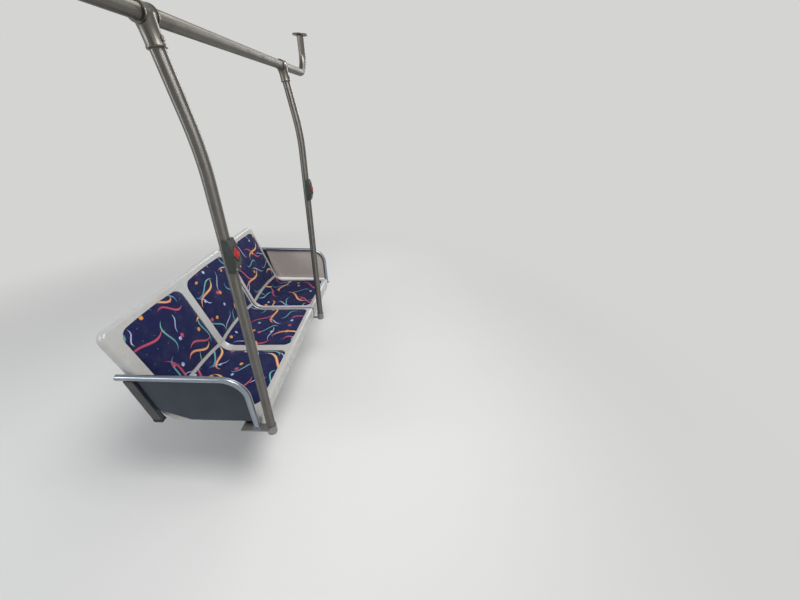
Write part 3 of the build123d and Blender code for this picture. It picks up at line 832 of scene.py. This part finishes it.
def weld(start, end):
    look = weldLook
    start, end = Vector(start), Vector(end)
    count = max(3, round((end - start).length / look["step"]))
    face = (end - start).to_track_quat("Z", "Y")
    rings = []
    for step in range(count + 1):
        middle = start.lerp(end, step / count)
        wander = noise.noise(middle * look["wanderScale"])
        size = 1 + look["ripple"] * (step % 2) + look["wander"] * wander
        if step in (0, count):
            size = look["endSize"]
        rings.append([middle + face @ point for point in circle(look["radius"] * size, 0, look["sides"])])
    return ringsOf(rings)


# Bolts of the wall plates and beams, and the welds at the arms' roots and under the uprights
armFixing = {
    "wallBolts": {"x": 0.006, "y": 0.030, "z": 0.085},
    "beamsAlong": (0.328, 0.070),  # from the crease along the pan
    "flangeDepth": 0.046,
    "flangeBoltOut": 0.0115,
    "rootTop": 0.0497,  # height of the arm's root on its wall plate
    "rootWelds": 0.0025,  # the two upright welds stand this far from the arm's middle
    "rootWeldEnds": 0.006,
    "crossWeldEnds": 0.001,
    "uprightDepth": 0.0230,
    "uprightRise": 0.0008,  # the arm rises by this much under an upright
}


def armFixings():
    fixing = armFixing
    bolts, welds = [], []
    for number in (1, 2, 3):
        low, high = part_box(f"arm_{number}")
        middle = (low.y + high.y) / 2
        wall = fixing["wallBolts"]
        for y in (-wall["y"], wall["y"]):
            for z in (-wall["z"], wall["z"]):
                bolts += hexBolt("Large", (wall["x"], middle + y, z), (1, 0, 0))
        for along in fixing["beamsAlong"]:
            place = crease + panAhead * along - panUp * fixing["flangeDepth"]
            for out in (-1, 1):
                spot = (place.x, middle + out * fixing["flangeBoltOut"], place.z)
                bolts += hexBolt("Small", spot, -panUp)
        top, ends, crossEnds = fixing["rootTop"], fixing["rootWeldEnds"], fixing["crossWeldEnds"]
        for y in (middle - fixing["rootWelds"], middle + fixing["rootWelds"]):
            welds.append(weld((low.x, y, low.z + ends), (low.x, y, top - ends)))
        for height in (low.z, top):
            welds.append(weld((low.x, low.y + crossEnds, height), (low.x, high.y - crossEnds, height)))
        postLow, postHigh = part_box(f"upright_{number}")
        front, rear, base = postHigh.x, postHigh.x - fixing["uprightDepth"], postLow.z
        frontBase = base + fixing["uprightRise"]
        for x, height in ((front, frontBase), (rear, base)):
            welds.append(weld((x, postLow.y, height), (x, postHigh.y, height)))
        for y in (postLow.y, postHigh.y):
            welds.append(weld((rear, y, base), (front, y, frontBase)))
    joinedPiece("frameBolts", bolts, "bolt")
    joinedPiece("frameWelds", welds, "frame")


# Fixings at both ends: brackets, end rails, ceiling flanges and tees
endFixing = {
    "bracketBolts": (0.030, 0.075),  # in from the shell's end
    "bracketLow": 0.0608,
    "railOut": 0.0207,  # from the shell's end out to the end rail's middle
    "railHeight": 0.339,
    "railLeg": 0.020,  # from the end rail's front back to the middle of its front leg
    "footScrewOut": 0.0165,
    "footTop": 0.0708,
    "flangeScrewCircle": 0.029,
    "grabRail": Vector((0.590, 0, 1.433)),
    "stanchionBend": Vector((0.6368, 0, 1.146)),
    "bossDown": 0.048,  # from the grab rail down the tee to its set screw
    "bossReach": 0.0235,
}


def endFixings():
    fixing = endFixing
    bolts, screws, plugs = [], [], []
    beamLow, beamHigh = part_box("front_beam")
    rise = (fixing["grabRail"] - fixing["stanchionBend"]).normalized()
    across = Vector((rise.z, 0, -rise.x))
    for side, out in (("near", -1), ("far", 1)):
        low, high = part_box("shell_double" if side == "near" else "shell_single")
        edge = low.y if side == "near" else high.y
        for inward in fixing["bracketBolts"]:
            spot = ((beamLow.x + beamHigh.x) / 2, edge - out * inward, fixing["bracketLow"])
            bolts += hexBolt("Small", spot, (0, 0, -1))
        railLow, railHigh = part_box("end_rail_" + side)
        railY = edge + out * fixing["railOut"]
        legX = railHigh.x - fixing["railLeg"]
        for x in (legX - fixing["footScrewOut"], legX + fixing["footScrewOut"]):
            screws.append(turned("domeSmall", (x, railY, fixing["footTop"]), (0, 0, 1)))
        plugs.append(turned("plug", (railLow.x, railY, fixing["railHeight"]), (-1, 0, 0)))
        flangeLow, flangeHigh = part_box("ceiling_flange_" + side)
        middle = (flangeLow + flangeHigh) / 2
        middle.z = flangeLow.z
        for hole in circle(fixing["flangeScrewCircle"], 0, 4, math.pi / 4):
            screws.append(turned("dome", middle + hole, (0, 0, -1)))
        teeLow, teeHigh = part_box("tee_" + side)
        boss = fixing["grabRail"] - rise * fixing["bossDown"] + across * fixing["bossReach"]
        boss.y = (teeLow.y + teeHigh.y) / 2
        screws.append(turned("setScrew", boss, across))
    joinedPiece("bracketBolts", bolts, "bolt")
    joinedPiece("smallScrews", screws, "bolt")
    joinedPiece("railPlugs", plugs, "rubber")


# Black caps on the open tops of the uprights
uprightCap = {
    "along": 0.400,
    "depth": 0.0273,
    "halfDepth": 0.0109,
    "halfWidth": 0.0124,
    "corner": 0.0025,
    "cornerSteps": 3,
    # heights over the upright's top, and how far the outline pulls in there
    "outline": ((-0.006, 0.004), (0.0, 0.004), (0.0001, 0.0), (0.0014, 0.0), (0.0024, 0.0012),
                (0.0028, 0.004)),
}


def capOutline(halfX, halfY):
    # A rectangle with rounded corners, as points (x, y)
    corner, steps = uprightCap["corner"], uprightCap["cornerSteps"]
    points = []
    for quarter, (x, y) in enumerate(((1, 1), (-1, 1), (-1, -1), (1, -1))):
        for step in range(steps + 1):
            angle = math.pi / 2 * (quarter + step / steps)
            points.append((x * (halfX - corner) + corner * math.cos(angle),
                           y * (halfY - corner) + corner * math.sin(angle)))
    return points


def uprightCaps():
    cap = uprightCap
    forms = []
    for number in (1, 2, 3):
        low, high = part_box(f"upright_{number}")
        place = crease + backUp * cap["along"] - backOut * cap["depth"]
        place.y = (low.y + high.y) / 2
        rings = []
        for height, pull in cap["outline"]:
            outline = capOutline(cap["halfDepth"] - pull, cap["halfWidth"] - pull)
            rings.append([place + backOut * x + Vector((0, y, 0)) + backUp * height for x, y in outline])
        forms.append(ringsOf(rings))
    joinedPiece("uprightCaps", forms, "rubber")


# A raised surround on each stop box, round its button, and two screws below
buttonSurround = {
    "halfWidth": 0.0185,  # of the diamond-shaped button
    "halfHeight": 0.0230,
    # points of the section, as the distance out from the button and the height over the box
    "section": ((0.0008, -0.001), (0.0008, 0.00084), (0.0012, 0.0014), (0.0020, 0.0014),
                (0.0026, 0.0007), (0.0026, -0.001)),
    "growAcross": 0.95,  # the diamond's growth across and up, for a step of 1 outwards
    "growUp": 1.5,
    "lean": 0.09585,  # the stanchion's lean at the box, in radians
    "screwsOut": 0.012,
    "screwsUp": 0.012,
    "screwsIn": 0.0072,
    "screwAxis": (0.95, 0, -0.30),
}


def buttonSurrounds():
    shape = buttonSurround
    forms, screws = [], []
    up, ahead = leaned(shape["lean"])
    for side in ("near", "far"):
        low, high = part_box("stop_button_" + side)
        middle = (low + high) / 2
        middle.x = low.x + (high.z - low.z) / 2 * math.sin(shape["lean"])
        rings = []
        for across, rise in ((1, 0), (0, 1), (-1, 0), (0, -1)):
            ring = []
            for grow, height in shape["section"]:
                halfHeight = shape["halfHeight"] + shape["growUp"] * grow
                halfWidth = shape["halfWidth"] + shape["growAcross"] * grow
                spot = middle + ahead * height + up * rise * halfHeight
                ring.append(spot + Vector((0, across * halfWidth, 0)))
            rings.append(ring)
        forms.append(ringsOf(rings, looped=True))
        boxLow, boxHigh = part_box("stop_box_" + side)
        for y in (middle.y - shape["screwsOut"], middle.y + shape["screwsOut"]):
            spot = (boxHigh.x - shape["screwsIn"], y, boxLow.z + shape["screwsUp"])
            screws.append(turned("domeSmall", spot, shape["screwAxis"]))
    joinedPiece("buttonSurrounds", forms, "housing")
    joinedPiece("boxScrews", screws, "bolt")


# The dark strip in the gap between the double and the single shell
seamStrip = {
    "middle": 0.233,
    "halfWidth": 0.0027,
    "top": -0.0040,  # heights over the shells' face
    "shoulder": -0.0048,
    "bottom": -0.0130,
    "backEnd": 0.436,
    "panEnd": 0.372,
    "step": 0.008,
    "noseRadius": 0.017,
    "noseTurn": math.radians(94),
    "noseSteps": 8,
    "lipDrop": 0.050,
    "lipSteps": 3,
}


def stripLine():
    # Points and outward directions down the back, along the pan, over the nose and down the lip
    strip = seamStrip
    start = -(strip["backEnd"] - tangent + halfArc)
    end = strip["panEnd"] - tangent + halfArc
    count = round((end - start) / strip["step"])
    line = []
    for step in range(count + 1):
        run = start + (end - start) * step / count
        face, above = profilePoint(run, 0), profilePoint(run, 0.01)
        line.append((face, (above - face).normalized()))
    nose = line[-1][0] - panUp * strip["noseRadius"]
    for step in range(1, strip["noseSteps"] + 1):
        angle = strip["noseTurn"] * step / strip["noseSteps"]
        out = panUp * math.cos(angle) + panAhead * math.sin(angle)
        line.append((nose + out * strip["noseRadius"], out))
    last, out = line[-1]
    down = Vector((out.z, 0, -out.x))
    for step in range(1, strip["lipSteps"] + 1):
        line.append((last + down * strip["lipDrop"] * step / strip["lipSteps"], out))
    return line


def shellStrip():
    strip = seamStrip
    section = [(-1, "bottom"), (-1, "shoulder"), (-0.5, "top"), (0.5, "top"), (1, "shoulder"), (1, "bottom")]
    rings = []
    for place, out in stripLine():
        ring = []
        for side, level in section:
            point = place + out * strip[level]
            ring.append(Vector((point.x, strip["middle"] + side * strip["halfWidth"], point.z)))
        rings.append(ring)
    joinedPiece("seamStrip", [ringsOf(rings)], "rubber")


# A plate over the far panel's sloped lower corner, which closes it down to the shell
closingPlate = {
    "outline": ((0.1635, 0.104), (0.305, 0.104), (0.305, 0.1102), (0.1497, 0.1818)),  # as (x, z)
    "thick": 0.0015,
    "screws": ((0.1738, 0.1630), (0.2192, 0.1421), (0.2646, 0.1211)),
}


def farClosingPlate():
    plate = closingPlate
    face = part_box("end_panel_far")[1].y
    outer = face + plate["thick"]
    rings = [[Vector((x, y, z)) for x, z in plate["outline"]] for y in (outer, face)]
    # The plate takes the far panel's finish, its painted reflected light included
    joinedPiece("farClosingPlate", [ringsOf(rings)], "far panel")
    screws = [turned("domeSmall", (x, outer, z), (0, 1, 0)) for x, z in plate["screws"]]
    joinedPiece("plateScrews", screws, "bolt")


print("adding bolts, welds, caps, plates and the seam strip")
armFixings()
endFixings()
uprightCaps()
buttonSurrounds()
shellStrip()
farClosingPlate()

# A pale floor that melts into the background, soft lamps and an even sky
studio = {
    "floorHeight": -0.340,
    "floorReach": 60,
    "floorColour": (0.78, 0.78, 0.77),
    "floorShade": 0.985,  # the darkest patches of the floor
    "floorTone": (3, 3),
    "floorRoughness": 0.7,
    "floorSpecular": 0.2,
    "background": (0.66, 0.66, 0.65),
    "overhead": (0.38, 0.38, 0.39),
    "skyRise": (0.30, 0.95),  # heights between which the sky goes to its overhead colour
    "skyColour": (0.97, 0.98, 1.0),
    "skyLevel": 0.34,
    "fade": (1.3, 3.6),  # distance over which the floor melts into the background
    "lampTarget": (0.35, -0.1, 0.35),
    "lamps": (  # place, size, watts, colour
        ((1.7, -0.9, 2.9), 1.5, 66, (1.0, 0.985, 0.96)),
        ((-2.2, -2.2, 1.9), 1.5, 34, (0.90, 0.95, 1.0)),
        ((1.2, 3.1, 1.9), 1.5, 30, (1.0, 1.0, 1.0)),
    ),
}


def floorPlane():
    reach = studio["floorReach"]
    corners = [(-reach, -reach, 0), (reach, -reach, 0), (reach, reach, 0), (-reach, reach, 0)]
    floor = newForm("floor", corners, [(0, 1, 2, 3)])
    floor.location.z = studio["floorHeight"]
    material, tree, shader = newMaterial(
        "floorPale", Roughness=studio["floorRoughness"], Specular_IOR_Level=studio["floorSpecular"]
    )
    spot = spotOf(tree)
    tone = cloud(tree, spot, *studio["floorTone"])
    shaded = tuple(channel * studio["floorShade"] for channel in studio["floorColour"])
    feed(tree, shader, Base_Color=mixed(tree, tone, studio["floorColour"], shaded))
    away = put(tree, "VectorMath", {0: spot}, operation="LENGTH").outputs["Value"]
    far = put(tree, "Emission", {"Color": studio["background"], "Strength": 1.0})
    share = ramp(tree, away, *studio["fade"])
    join = put(tree, "MixShader", {0: share, 1: shader.outputs[0], 2: far.outputs[0]})
    tree.links.new(join.outputs[0], tree.nodes["Material Output"].inputs["Surface"])
    floor.data.materials.append(material)


def skyLight():
    # Camera, metal and gloss see the background, and a weaker even sky lights the rest
    world = bpy.data.worlds.new("studioSky")
    world.use_nodes = True
    tree = world.node_tree
    tree.nodes.clear()
    height = put(tree, "SeparateXYZ", {0: put(tree, "TexCoord").outputs["Generated"]}).outputs[2]
    sky = mixed(tree, ramp(tree, height, *studio["skyRise"]), studio["background"], studio["overhead"])
    seen = put(tree, "Background", {"Color": sky, "Strength": 1.0})
    light = put(tree, "Background", {"Color": studio["skyColour"], "Strength": studio["skyLevel"]})
    path = put(tree, "LightPath").outputs
    shows = calc(tree, "MAXIMUM", path["Is Camera Ray"], path["Is Glossy Ray"])
    shows = calc(tree, "MAXIMUM", shows, path["Is Transmission Ray"])
    both = put(tree, "MixShader", {0: shows, 1: light.outputs[0], 2: seen.outputs[0]})
    tree.links.new(both.outputs[0], put(tree, "OutputWorld").inputs["Surface"])
    bpy.context.scene.world = world


def studioLamps():
    for number, (place, size, watts, colour) in enumerate(studio["lamps"], start=1):
        data = bpy.data.lights.new(f"softbox{number}", "AREA")
        data.shape = "DISK"
        data.size = size
        data.energy = watts
        data.color = colour
        lamp = newObject(f"softbox{number}", data)
        lamp.location = place
        lamp.rotation_mode = "QUATERNION"
        aim = Vector(studio["lampTarget"]) - Vector(place)
        lamp.rotation_quaternion = aim.to_track_quat("-Z", "Y")


# The camera stands where the photograph was taken, above and beside the near end
cameraView = {
    "place": (1.1804, -1.5956, 1.2491),
    "down": 0.5293,  # angles in radians
    "turn": -0.0127,
    "roll": 0.0142,
    "lens": 14.4,
    "sensor": 36,
    "clip": (0.02, 200),
}


def photoCamera():
    view = cameraView
    up = Vector((0, 0, 1))
    level = Vector((math.sin(view["turn"]), math.cos(view["turn"]), 0))
    right = Vector((math.cos(view["turn"]), -math.sin(view["turn"]), 0))
    ahead = level * math.cos(view["down"]) - up * math.sin(view["down"])
    above = level * math.sin(view["down"]) + up * math.cos(view["down"])
    rightRolled = right * math.cos(view["roll"]) + above * math.sin(view["roll"])
    aboveRolled = above * math.cos(view["roll"]) - right * math.sin(view["roll"])
    data = bpy.data.cameras.new("photoCamera")
    data.lens = view["lens"]
    data.sensor_width = view["sensor"]
    data.clip_start, data.clip_end = view["clip"]
    camera = newObject("photoCamera", data)
    axes = Matrix((rightRolled, aboveRolled, -ahead)).transposed().to_4x4()
    camera.matrix_world = Matrix.Translation(view["place"]) @ axes
    bpy.context.scene.camera = camera


print("setting the floor, light and camera")
floorPlane()
skyLight()
studioLamps()
photoCamera()
bpy.context.scene.view_settings.view_transform = "Standard"

print("bench finished")
